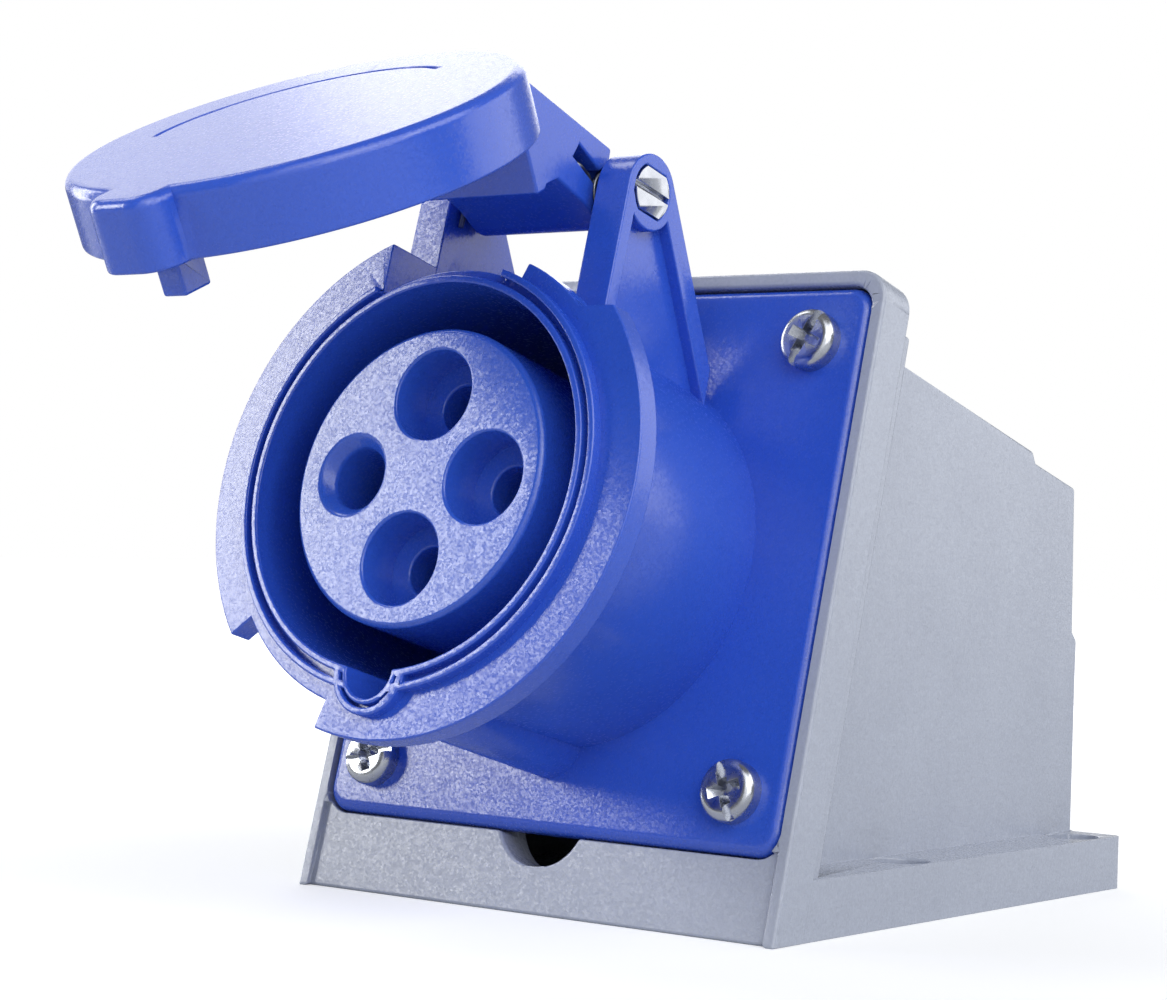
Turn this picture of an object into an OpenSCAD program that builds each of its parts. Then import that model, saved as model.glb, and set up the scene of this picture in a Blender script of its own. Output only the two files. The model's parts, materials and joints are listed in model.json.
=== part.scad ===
// Surface-mounted industrial socket: a wedge-shaped box carries a round socket with a hinged lid.
// Millimetres. Origin at the middle of the base's underside, the front looks towards -Y, +Z is up.

/* [Back box] */
// Width of the base and of the front frame
base_w = 92; // [88:0.5:100]
// Depth of the base, front to back
base_d = 110.5; // [104:0.5:140]
// Thickness of the base flange
base_t = 9; // [7:0.5:12]
// Lean of the front from upright, in degrees
lean = 14.7; // [10:0.1:18]
// Height of the front face below the panel, up its lean
foot_s = 12.9; // [11:0.1:18]
// Set-back of the front face below the panel
foot_set = 0.9; // [0.4:0.1:1.5]
// Width of the frame's rim beside the panel
rim_w = 2; // [1.6:0.1:3]
// Width of the frame's rim above the panel
top_rim = 2.4; // [2:0.1:3.5]
// Radius of the frame's upper corners
frame_corner_r = 5; // [3:0.5:7]
// Depth of the front frame
frame_t = 7.5; // [7:0.5:10]
// Depth of the ledge behind the frame
ledge_t = 4; // [3.5:0.5:6]
// Inset of that ledge from the frame's sides
ledge_in = 1.5; // [1:0.1:3]
// Width of the flange on each side of the housing
flange_out = 10; // [9.5:0.5:11]
// Inset of the flange from the frame's sides
flange_in = 0.2; // [0.1:0.1:1]
// Wall thickness of the housing
wall = 2.8; // [2:0.1:3]
// Thickness of the floor
floor_t = 3; // [2:0.1:5]
// Distance of the roof below the frame's top, up the lean
roof_below = 7.1; // [6.5:0.1:9]
// Step down in the roof
roof_drop = 1.6; // [0.8:0.1:2]
// Distance of that step behind the front
roof_step = 70; // [60:1:72]
// Height of the step in the end wall
end_step_z = 42.5; // [40:0.5:46]
// Set-back of the end wall from the base's rear edge
end_in = 0.3; // [0.2:0.1:1]
// Set-back of the end wall above its step
end_set = 1.6; // [0.8:0.1:3]
// Further draft of the end wall up to the roof
end_draft = 0.8; // [0:0.1:1.5]
// Radius of the base's rear corners
base_corner_r = 2; // [1:0.5:4]
// Diameter of the notch below the panel
notch_d = 16.2; // [12:0.1:18]
// Height of the notch's middle, up the lean
notch_s = 15.7; // [14:0.1:17]
// Wall left round the pockets under the flange
pocket_wall = 2.5; // [2:0.1:3]

/* [Fixing holes] */
// Distance of the fixing holes from the base's sides
hole_side = 5.5; // [5.2:0.1:6]
// Distance of the rear holes from the base's rear edge
hole_back = 8.5; // [7:0.1:12]
// Spacing of the fixing holes, front to back
hole_dy = 58; // [45:1:65]
// Diameter of the fixing holes
hole_d = 6; // [4:0.1:6.4]
// Diameter of the recess round each hole
hole_rim_d = 9; // [8:0.1:9.4]
// Depth of that recess
hole_rim_depth = 1.5; // [1:0.1:3]

/* [Entry] */
// Diameter of the entry hole in the end wall
entry_d = 25; // [20:0.5:27]
// Height of the entry hole's middle
entry_z = 24; // [20:0.5:26]
// Radial clearance of the grommet's neck
grommet_play = 0.05; // [0.02:0.01:0.3]
// Overlap of the grommet's lips beyond the hole
grommet_lip = 2.6; // [1.5:0.1:3]
// Thickness of the grommet's lips
grommet_lip_t = 2; // [1.5:0.1:3]
// Thickness of the grommet's blind skin
grommet_skin = 1.4; // [1:0.1:2]

/* [Panel] */
// Thickness of the panel
panel_t = 4; // [3:0.1:4.5]
// Corner radius of the panel
panel_r = 4; // [2.5:0.1:6]
// Rounding of the panel's front edge
panel_edge = 1.8; // [0.8:0.1:2.2]
// Gap between the panel and the frame
panel_gap = 0.3; // [0.1:0.05:0.6]
// Thickness of the gasket under the panel
gasket_t = 1; // [0.8:0.1:1.5]
// Clearance of the gasket inside the frame and round the spigot
gasket_play = 0.5; // [0.3:0.1:0.6]
// Distance of the panel screws from the panel's edges
screw_edge = 8.9; // [8:0.1:9.5]
// Diameter of the panel screws
screw_d = 5; // [4:0.5:5]
// Diameter of their heads
screw_head_d = 9.4; // [8:0.1:10]
// Height of their heads
screw_head_h = 3.1; // [2.4:0.1:3.6]
// Radial clearance of the screws in the panel
screw_play = 0.3; // [0.1:0.05:0.4]
// Radial clearance of the screws in the inserts
thread_play = 0.03; // [0.01:0.01:0.1]
// Outer diameter of the threaded inserts
insert_d = 7; // [6.6:0.1:7.4]
// Length of the threaded inserts
insert_l = 6; // [4:0.5:6]
// Radial clearance of the inserts in the frame
insert_play = 0.02; // [0.01:0.01:0.05]

/* [Collar] */
// Bore radius of the collar
bore_r = 29.2; // [27.5:0.1:29.8]
// Height of the collar's lips above the panel
collar_h = 45; // [42:0.5:50]
// Wall of the collar at the panel
sleeve_foot_t = 1.5; // [1.3:0.1:2]
// Wall of the collar at the locking ring
sleeve_top_t = 2.5; // [2.2:0.1:3]
// Thickness of each lip
lip_t = 1.1; // [0.8:0.1:1.3]
// Width of the groove between the lips
lip_groove = 1; // [0.6:0.1:1.2]
// Height of the lips above the ring
lip_h = 1.8; // [1:0.1:2.5]
// Angle at which the outer lip ends at the top right
lip_gap_from = 73; // [66:1:80]
// Angle at which the outer lip begins again at the top left
lip_gap_to = 116; // [105:1:120]
// Reach of the locking ring beyond the bore
ring_out = 9.9; // [7:0.1:10.5]
// Reach of the ring where it is cut back
ring_cut_out = 5.6; // [4:0.1:6]
// Thickness of the locking ring
ring_t = 4; // [3:0.1:6]
// Half-width of the ring's gap on the left
ring_gap_left = 14; // [13:0.1:15]
// Angle of the ring's gap on the right
gap_right = 68.5; // [64:0.5:72]
// Angle at which the ring is cut back on the right
cut_right_from = 41; // [36:0.5:46]
// Angle at which the cut-back at the bottom left begins
cut_left_from = -140; // [-146:0.5:-134]
// Angle at which that cut-back ends
cut_left_to = -104.5; // [-108:0.5:-102]
// Radius of the key channel
key_r = 4.2; // [3.4:0.1:4.6]
// Wall round the key channel
key_wall = 1.3; // [1:0.1:1.6]
// Thickness of the ledge that the insert seats on
seat_t = 2; // [1.5:0.1:3]
// Depth of the seat below the panel's front
seat_w = 1; // [0.5:0.1:1.4]
// Length of the spigot behind the panel
spigot_l = 5; // [3:0.5:7]
// Wall of the spigot behind the panel
spigot_wall = 2.6; // [2.2:0.1:2.8]

/* [Hinge] */
// Distance of the pin above the collar's bore
hinge_rise = 20; // [19:0.1:21]
// Distance of the pin below the lip plane
hinge_below = 17.9; // [17:0.1:19]
// Distance of each arm's inner face from the middle
arm_in = 13.9; // [13.8:0.1:14.6]
// Thickness of each arm
arm_t = 6.1; // [5:0.1:6.6]
// Radius of the arms' tips
arm_tip_r = 5.8; // [5.4:0.1:6.4]
// Distance of the arm's rear foot from the panel
arm_foot_w = 4.5; // [3:0.1:8]
// Depth of the pocket in each arm's outer face
arm_pocket = 1.9; // [1:0.1:2]
// Width of the rib along the arm's front
arm_rib_front = 2.6; // [2:0.1:3]
// Width of the rib along the arm's back
arm_rib_back = 3.6; // [2:0.1:4]
// Diameter of the hinge pin
pin_d = 5; // [4:0.1:5]
// Diameter of the pin's head
pin_head_d = 8.2; // [7:0.1:8.6]
// Thickness of the pin's head
pin_head_t = 2; // [1.5:0.1:2.4]
// Distance across the flats of the pin's head
pin_flats = 6.6; // [6:0.1:7]
// Width of the pin's driver slot
pin_slot = 1; // [0.6:0.1:1.4]
// Radial clearance of the pin in the arms
pin_fixed_play = 0.02; // [0.01:0.01:0.04]
// Radial clearance of the pin in the lid's knuckle
pin_run_play = 0.05; // [0.02:0.01:0.1]
// Thickness of the clip on the pin's end
clip_t = 0.8; // [0.6:0.1:1.2]
// Outer diameter of that clip
clip_d = 9; // [8:0.1:10]

/* [Lid] */
// Opening of the lid as drawn, in degrees from closed
lid_open = 50.2; // [0:0.1:110]
// Overhang of the lid's outside beyond the bore
lid_out = 3.2; // [3:0.1:3.8]
// Gap between the collar's lips and the closed lid
lid_play = 0.4; // [0.2:0.05:0.6]
// Height of the lid
lid_h = 9.9; // [8:0.1:12]
// Rounding of the lid's top edge
lid_edge = 1.6; // [0.8:0.1:2.4]
// Wall of the lid round the seal
lid_wall = 2.1; // [1.8:0.1:2.4]
// Thickness of the lid's top
lid_top_t = 2.2; // [1.6:0.1:3]
// Half-width of the finger tab
tab_half = 6.3; // [5:0.1:8]
// Reach of the finger tab beyond the lid
tab_out = 4.7; // [3:0.1:6]
// Corner radius of the finger tab
tab_r = 4.2; // [3.4:0.1:4.2]
// Half-width of the key hook
hook_half = 2.1; // [1.5:0.1:3]
// Depth of the key hook, front to back
hook_d = 5.2; // [3:0.1:5.6]
// Reach of the key hook below the lid's rim
hook_l = 5.3; // [4:0.1:6]
// Half-width of the hinge block
block_half = 12.2; // [10:0.1:12.4]
// Radius of the block's knuckle round the pin
knuckle_r = 5.2; // [5:0.1:5.4]
// Radius of the groove on the lid's top
mark_r = 22.5; // [15:0.5:26]
// Width of that groove
mark_w = 0.9; // [0.5:0.1:1.5]
// Width of the seal inside the lid
seal_w = 2.1; // [1.5:0.1:2.4]
// Height of the seal
seal_h = 4; // [3:0.1:4.5]

/* [Springs] */
// Wire diameter of the lid springs
wire_d = 0.9; // [0.7:0.1:1]
// Clearance of the coils round the pin
coil_play = 0.6; // [0.4:0.1:0.8]
// Pitch of the coils
coil_pitch = 1.05; // [1.02:0.01:1.1]
// Length of the leg that bears on the body
body_leg = 5.5; // [5:0.5:11]

/* [Insert and contacts] */
// Gap between the insert and the collar's bore
annulus = 6.55; // [6:0.05:7]
// Depth of the insert's face below the lip plane
insert_below = 1.6; // [0.8:0.1:3]
// Chamfer on the insert's front edge
insert_edge = 0.6; // [0.3:0.1:1]
// Radius of the contact circle
contact_circle_r = 12.4; // [12:0.1:12.8]
// Diameter of the phase pins that plug in
phase_pin_d = 6; // [5:0.5:6]
// Diameter of the earth pin that plugs in
earth_pin_d = 8; // [7:0.5:8]
// Clearance on diameter of the holes for the pins
hole_play = 1.3; // [0.8:0.1:1.5]
// Diameter of the recess round each phase hole
phase_recess_d = 13.8; // [10:0.1:14]
// Depth of that recess
phase_recess = 7; // [3:0.5:9]
// Mouth diameter of the earth hole
earth_mouth_d = 12.4; // [11:0.1:13]
// Depth of the earth hole's chamfer
earth_mouth = 2; // [1:0.1:3]
// Depth of the contacts' tips below the insert's face
contact_set = 15; // [12:0.5:20]
// Clearance on diameter of the pins in the contacts
contact_bore_play = 0.1; // [0.05:0.05:0.3]
// Wall of the contacts' slotted front
contact_wall = 1.1; // [0.9:0.1:1.2]
// Extra radius of the contacts' rear half
contact_step = 0.5; // [0.4:0.1:0.7]
// Radial clearance of the contacts in the insert
contact_play = 0.1; // [0.05:0.05:0.2]
// Thickness of the flange on the insert's base
flange_t = 3; // [2:0.1:3]
// Radial clearance of that flange in the body
flange_play = 0.2; // [0.1:0.05:0.4]
// Radius of the insert's base behind its flange
rear_r = 22.5; // [21:0.1:24]
// Radius of the spigot that centres the insert on its base
centre_r = 4.5; // [3:0.1:5]
// Length of that spigot
centre_l = 8; // [4:0.5:10]
// Radial clearance of that spigot
centre_play = 0.02; // [0.01:0.01:0.05]
// Distance of the base's rear face behind the panel's front
rear_w = 16; // [14:0.5:20]
// Thickness of the contacts' shoulders
shoulder_t = 2; // [1.5:0.1:3]
// Extra radius of those shoulders
shoulder_out = 1.2; // [0.8:0.1:1.5]
// Length of the terminals behind the shoulders
terminal_l = 12; // [10:0.5:16]
// Diameter of the wire holes in the terminals
wire_hole_d = 5.4; // [4:0.1:5.6]
// Diameter of the terminal screws
clamp_d = 4; // [3:0.5:4]
// Thickness of the snap ring behind the flange
circlip_t = 1.2; // [1:0.1:1.6]
// Depth of the snap ring's groove
circlip_groove = 1; // [0.6:0.1:1.2]
// Clearance of the snap ring in its groove
circlip_play = 0.05; // [0.02:0.01:0.1]

/* [Hidden] */
$fn = 96;
grey = [0.67, 0.7, 0.75];
blue = [0.14, 0.28, 0.72];
pale_blue = [0.3, 0.42, 0.82];
dark_rubber = [0.1, 0.1, 0.11];
brass = [0.72, 0.55, 0.25];
zinc = [0.72, 0.73, 0.75];
steel = [0.6, 0.61, 0.63];
// Overshoot of the cutting bodies
eps = 1;
hull_fn = 32;
sides = [-1, 1];
panel_w = base_w - 2 * (rim_w + panel_gap);
front_len = foot_s + panel_w + panel_gap + top_rim;
socket_s = foot_s + panel_w / 2;
housing_w = base_w - 2 * flange_out;
front_y = -base_d / 2;
back_y = base_d / 2;
wall_y = back_y - end_in;
end_y = wall_y - end_set - end_draft;
inner_end_y = end_y - wall;
roof_s = front_len - roof_below;
low_roof_s = roof_s - roof_drop;
frame_back = frame_t + ledge_t;
front_wall_t = frame_t + 0.5;
recess_depth = panel_t + gasket_t;
open_lift = 6;
open_s = foot_s + open_lift;
screw_pos = panel_w / 2 - screw_edge;
post_r = insert_d / 2 + 1.7;
insert_deep = 0.2;
hole_x = base_w / 2 - hole_side;
hole_rows = [back_y - hole_back - hole_dy, back_y - hole_back];
pocket_roof = 3;
pocket_top = base_t - pocket_roof;
pocket_clear = hole_rim_d / 2 + 2;
neck_r = entry_d / 2 - grommet_play;
entry_wall_t = wall_y - inner_end_y;
lip_in_r = bore_r + lip_t;
lip_out_r0 = lip_in_r + lip_groove;
lip_out_r1 = lip_out_r0 + lip_t;
ring_r = bore_r + ring_out;
ring_cut_r = bore_r + ring_cut_out;
ring_top = collar_h - lip_h;
ring_bottom = ring_top - ring_t;
key_out_r = key_r + key_wall;
key_lip_r = key_out_r + lip_t;
key_v = -bore_r;
key_boss_v = -bore_r - 0.7;
spigot_r = bore_r + spigot_wall;
carrier_r = bore_r - annulus;
carrier_w = collar_h - insert_below;
seat_hole_r = carrier_r + 1;
flange_r = bore_r - flange_play;
flange_back = -seat_w - flange_t;
circlip_r = bore_r + circlip_groove;
circlip_in_r = bore_r - 2.6;
circlip_gap = 5;
hinge_up = bore_r + hinge_rise;
hinge_out = collar_h - hinge_below;
arm_out = arm_in + arm_t;
arm_front_w = hinge_out + arm_tip_r;
arm_foot_v = bore_r - 0.2;
arm_sink = 8;
arm_root_v = bore_r - arm_sink;
pin_r = pin_d / 2;
head_play = 0.2;
head_proud = 0.2;
pin_tail = 2;
clip_gap = 0.1;
clip_neck_r = pin_r - 0.6;
lid_r = bore_r + lid_out;
lid_w0 = collar_h + lid_play;
lid_w1 = lid_w0 + lid_h;
lid_in_r = lid_r - lid_wall;
lid_core_r = lid_in_r - seal_w;
lid_core_w = lid_w1 - lid_top_t;
seal_top = lid_w0 + seal_h + 0.1;
hook_v = -bore_r - 1.3;
hook_w = lid_w0 - hook_l;
mark_depth = 0.4;
mark_from = 65;
mark_sweep = 127;
// Outline of the lid's hinge block, as offsets from the pin
block_outline = [[2.9, 6.3], [1.9, 4.8], [0, 0], [-1.3, -5], [-4.4, -2.8], [-6.3, 0.6], [-11.6, 6.3]];
skirt_t = 2.6;
skirt_foot = 0.7;
coil_r = pin_r + coil_play + wire_d / 2;
slot_angle = 122;
slot_near = coil_r;
slot_far = 10.2;
slot_w = 2.4;
slot_depth = 4;
leg_reach = 7.6;
leg_in = 1.5;
leg_clear = 0.15;
body_leg_angle = 180 + lid_open;
coil_turn = body_leg_angle - 90 + 720 - slot_angle;
coil_end_x = block_half + leg_clear + wire_d / 2;
coil_x = coil_end_x - coil_pitch * coil_turn / 360;
coil_room = 0.25;
well_r = coil_r + wire_d / 2 + coil_room;
well_x = coil_x - wire_d / 2 - coil_room;
contact_tip_w = carrier_w - contact_set;
contact_waist_w = 4;
contact_back_w = -rear_w - shoulder_t - terminal_l;
contact_depth = 20;
clamp_w = -rear_w - shoulder_t - terminal_l / 2;
slit_w = 0.8;
slit_l = 15;
band_t = contact_wall / 2.2;
band_l = contact_set / 3.75;
band_set = band_l;
phase_angles = [90, 0, -90];
earth_angle = 180;

// Point (y, z) that lies s up the front and w out of it
function on_front(s, w) = [
    front_y + s * sin(lean) - w * cos(lean),
    s * cos(lean) + w * sin(lean)];

// How far out of the front the line at s meets the upright plane at y
function w_at(s, y) = (front_y + s * sin(lean) - y) / cos(lean);

// How far up the front the plane at w meets the height z
function s_at(w, z) = (z - w * sin(lean)) / cos(lean);

// Point where the line from p touches the circle of radius r round c, on the left of p to c
function touch_point(p, c, r) =
    let (d = c - p, len = norm(d), turn = asin(r / len), aim = atan2(d[1], d[0]) + turn)
    p + len * cos(turn) * [cos(aim), sin(aim)];

// Half outline of a round post with a rounded top edge
function soft_profile(r, z0, z1, edge) = concat(
    [[0, z0], [r, z0]],
    [for (a = [0 : 15 : 90]) [r - edge + edge * cos(a), z1 - edge + edge * sin(a)]],
    [[0, z1]]);

// Unit vector
function unit(v) = v / norm(v);

// Inner diameter, front radius and rear radius of a contact for a pin
function contact_bore(pin) = pin + contact_bore_play;
function contact_front_r(pin) = contact_bore(pin) / 2 + contact_wall;
function contact_rear_r(pin) = contact_front_r(pin) + contact_step;

// Frame on the leaning front: x across, y up the lean, z out
module panel_frame() {
    translate([0, front_y, 0]) rotate([90 - lean, 0, 0]) children();
}

// The same frame at the socket's axis
module socket_axis() {
    panel_frame() translate([0, socket_s, 0]) children();
}

// The lid is drawn closed and turned about the pin
module lid_pose() {
    socket_axis()
        translate([0, hinge_up, hinge_out])
            rotate([-lid_open, 0, 0])
                translate([0, -hinge_up, -hinge_out])
                    children();
}

// Extrudes a (y, z) outline along x, centred
module across(width) {
    translate([-width / 2, 0, 0]) rotate([90, 0, 90]) linear_extrude(width) children();
}

// Cylinder along x, from x0 to x1
module rod(r, x0, x1) {
    translate([x0, 0, 0]) rotate([0, 90, 0]) cylinder(r = r, h = x1 - x0);
}

module rounded_square(side, r) {
    square([side, side - 2 * r], center = true);
    square([side - 2 * r, side], center = true);
    for (x = sides, y = sides) translate([x * (side / 2 - r), y * (side / 2 - r)]) circle(r);
}

module at_screws() {
    for (x = sides, y = sides) translate([x * screw_pos, y * screw_pos, 0]) children();
}

module at_contact(angle) {
    rotate([0, 0, angle]) translate([contact_circle_r, 0, 0]) children();
}

// The housing, the frame and the flange all reach below the base and are cut off level together
module housing() {
    across(housing_w)
        polygon([
            [front_y + frame_t, -eps],
            [wall_y, -eps],
            [wall_y, end_step_z],
            [wall_y - end_set, end_step_z + end_set],
            on_front(low_roof_s, w_at(low_roof_s, end_y)),
            on_front(low_roof_s, -roof_step - roof_drop),
            on_front(roof_s, -roof_step),
            on_front(roof_s, -frame_t / 2),
            on_front(frame_t, -frame_t / 2)]);
}

module front_frame() {
    top_w = base_w - 2 * frame_corner_r;
    ledge_w = base_w - 2 * ledge_in;
    panel_frame() {
        translate([0, 0, -frame_t])
            linear_extrude(frame_t) {
                translate([-base_w / 2, -frame_t])
                    square([base_w, front_len - frame_corner_r + frame_t]);
                translate([-top_w / 2, -frame_t]) square([top_w, front_len + frame_t]);
                for (x = sides)
                    translate([x * top_w / 2, front_len - frame_corner_r]) circle(frame_corner_r);
            }
        translate([-ledge_w / 2, -frame_back, -frame_back])
            cube([ledge_w, roof_s + frame_back, frame_back - eps]);
    }
}

module base_flange() {
    flange_y = front_y + frame_t / 2 + base_t * tan(lean);
    corner_y = back_y - base_corner_r;
    side_x = base_w / 2 - flange_in;
    corner_x = side_x - base_corner_r;
    translate([0, 0, -eps]) {
        translate([-side_x, flange_y, 0]) cube([2 * side_x, corner_y - flange_y, base_t + eps]);
        translate([-corner_x, corner_y - eps, 0]) cube([2 * corner_x, base_corner_r + eps, base_t + eps]);
        for (x = sides) translate([x * corner_x, corner_y, 0]) cylinder(r = base_corner_r, h = base_t + eps);
    }
}

module panel_recess() {
    recess_w = panel_w + 2 * panel_gap;
    socket_axis()
        translate([0, 0, -recess_depth])
            linear_extrude(recess_depth + eps)
                rounded_square(recess_w, panel_r + panel_gap);
    panel_frame() translate([-recess_w / 2, -eps, -foot_set])
        cube([recess_w, foot_s + 2 * eps, foot_set + eps]);
}

module box_cavity() {
    inner_roof = roof_s - wall;
    inner_low = low_roof_s - wall;
    difference() {
        across(housing_w - 2 * wall)
            polygon([
                on_front(open_s, eps),
                on_front(inner_roof, eps),
                on_front(inner_roof, -roof_step),
                on_front(inner_low, -roof_step - roof_drop),
                on_front(inner_low, w_at(inner_low, inner_end_y)),
                [inner_end_y, floor_t],
                on_front(s_at(-front_wall_t, floor_t), -front_wall_t),
                on_front(open_s, -front_wall_t)]);
        socket_axis() at_screws() translate([0, 0, -frame_back])
            cylinder(r = post_r, h = frame_back + 2 * eps);
    }
}

module flange_pockets() {
    rows = [
        [front_y + frame_back + pocket_wall + base_t * tan(lean), hole_rows[0] - pocket_clear],
        [hole_rows[0] + pocket_clear, hole_rows[1] - pocket_clear]];
    for (x = sides, row = rows)
        translate([x * (base_w - flange_out) / 2, (row[0] + row[1]) / 2, pocket_top / 2 - eps / 2])
            cube([flange_out - pocket_wall, row[1] - row[0], pocket_top + eps], center = true);
}

module back_box() {
    color(grey)
        difference() {
            intersection() {
                union() {
                    housing();
                    front_frame();
                    base_flange();
                }
                translate([-base_w, -base_d, 0]) cube([2 * base_w, 2 * base_d, 2 * front_len]);
            }
            panel_recess();
            box_cavity();
            flange_pockets();
            panel_frame()
                translate([0, notch_s, -front_wall_t - eps])
                    cylinder(d = notch_d, h = front_wall_t + 2 * eps);
            socket_axis()
                at_screws()
                    translate([0, 0, -recess_depth - insert_deep - insert_l])
                        cylinder(r = insert_d / 2 + insert_play, h = insert_l + insert_deep + eps);
            for (x = sides, y = hole_rows)
                translate([x * hole_x, y, 0]) {
                    translate([0, 0, -eps]) cylinder(d = hole_d, h = base_t + 2 * eps);
                    translate([0, 0, base_t - hole_rim_depth])
                        cylinder(d = hole_rim_d, h = hole_rim_depth + eps);
                }
            translate([0, inner_end_y - eps, entry_z])
                rotate([-90, 0, 0])
                    cylinder(d = entry_d, h = entry_wall_t + 2 * eps);
        }
}

// Blind grommet: a waist in the wall, a lip on each side, a hollow behind the skin
module entry_grommet() {
    lip_r = entry_d / 2 + grommet_lip;
    hollow_r = neck_r - grommet_lip;
    inside = entry_wall_t + grommet_lip_t;
    color(dark_rubber)
        translate([0, wall_y, entry_z])
            rotate([-90, 0, 0])
                difference() {
                    union() {
                        cylinder(r = lip_r, h = grommet_lip_t);
                        translate([0, 0, -inside]) cylinder(r = neck_r, h = inside + grommet_lip_t);
                        translate([0, 0, -inside])
                            cylinder(r = lip_r - grommet_skin, h = grommet_lip_t);
                    }
                    translate([0, 0, grommet_skin - inside])
                        cylinder(r = hollow_r, h = inside + grommet_lip_t);
                }
}

module nut_inserts() {
    color(brass)
        socket_axis()
            at_screws()
                translate([0, 0, -recess_depth - insert_deep - insert_l])
                    difference() {
                        cylinder(d = insert_d, h = insert_l);
                        translate([0, 0, -eps])
                            cylinder(r = screw_d / 2 + thread_play, h = insert_l + 2 * eps);
                    }
}

module panel_gasket() {
    color(dark_rubber)
        socket_axis()
            translate([0, 0, -recess_depth])
                difference() {
                    linear_extrude(gasket_t) rounded_square(panel_w - 2 * gasket_play, panel_r);
                    translate([0, 0, -eps])
                        cylinder(r = spigot_r + gasket_play, h = gasket_t + 2 * eps);
                    at_screws()
                        translate([0, 0, -eps])
                            cylinder(r = screw_d / 2 + screw_play, h = gasket_t + 2 * eps);
                }
}

module panel_plate() {
    corner = panel_w / 2 - panel_r;
    hull()
        for (x = sides, y = sides)
            translate([x * corner, y * corner, 0])
                rotate_extrude($fn = hull_fn)
                    polygon(soft_profile(panel_r, -panel_t, 0, panel_edge));
}

// Wedge between two angles, wider than the ring
module wedge(from, to) {
    reach = 2 * ring_r;
    translate([0, 0, -eps])
        linear_extrude(collar_h)
            polygon([[0, 0], reach * [cos(from), sin(from)], reach * [cos(to), sin(to)]]);
}

// Cut-back on the right of the ring, with a level end
module right_cut() {
    level = ring_r * sin(cut_right_from);
    reach = 2 * ring_r;
    aside = 1 / tan(gap_right);
    translate([0, 0, -eps])
        linear_extrude(collar_h)
            polygon([[level * aside, level], [reach, level], [reach, reach], [reach * aside, reach]]);
}

// Full on the right and the left, cut back at two places, open at the top, with a stop block on the left
module locking_ring() {
    difference() {
        translate([0, 0, arm_front_w - eps]) cylinder(r = ring_r, h = ring_top - arm_front_w + eps);
        difference() {
            cylinder(r = ring_r + eps, h = ring_bottom);
            translate([eps / 4 - arm_out, arm_root_v, 0]) cube([arm_out, ring_r, ring_top]);
        }
        difference() {
            union() {
                right_cut();
                wedge(cut_left_from, cut_left_to);
            }
            cylinder(r = ring_cut_r, h = collar_h);
        }
        linear_extrude(collar_h)
            polygon([
                [-ring_gap_left, 0],
                [0, 0],
                2 * ring_r * [cos(gap_right), sin(gap_right)],
                [-ring_gap_left, 2 * ring_r]]);
    }
}

module key_lips() {
    root = ring_t / 2;
    translate([0, key_v, ring_top - root])
        difference() {
            cylinder(r = key_lip_r, h = root + lip_h);
            translate([0, 0, root])
                difference() {
                    cylinder(r = key_out_r, h = lip_h + eps);
                    cylinder(r = key_out_r - lip_groove / 2, h = lip_h + eps);
                }
        }
}

module arm_bar(side) {
    pin = [hinge_up, hinge_out];
    foot = [arm_foot_v, arm_foot_w];
    touch = touch_point(foot, pin, -arm_tip_r);
    along = unit(touch - foot);
    inward = [-along[1], along[0]] * arm_rib_back;
    lift = side * (arm_in + arm_t / 2);
    pocket_x = side * (arm_out - arm_pocket / 2 + eps / 2);
    difference() {
        union() {
            translate([lift, 0, 0])
                across(arm_t)
                    polygon([
                        [arm_root_v, arm_front_w],
                        [hinge_up, arm_front_w],
                        pin,
                        touch,
                        foot,
                        [arm_root_v, arm_foot_w]]);
            translate([lift, hinge_up, hinge_out]) rod(arm_tip_r, -arm_t / 2, arm_t / 2);
        }
        difference() {
            translate([pocket_x, 0, 0])
                across(arm_pocket + eps)
                    polygon([
                        [hinge_up, arm_front_w - arm_rib_front],
                        [arm_root_v, arm_front_w - arm_rib_front],
                        foot + inward - along * arm_foot_w,
                        touch + inward]);
            translate([pocket_x, hinge_up, hinge_out]) rod(arm_tip_r, -arm_t, arm_t);
        }
    }
}

// Round head with two flats, up to x1
module pin_head(r, flats, x1) {
    intersection() {
        rod(r, arm_out + head_proud - pin_head_t, x1);
        translate([arm_in, -flats / 2, -2 * r]) cube([arm_out, flats, 4 * r]);
    }
}

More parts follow.
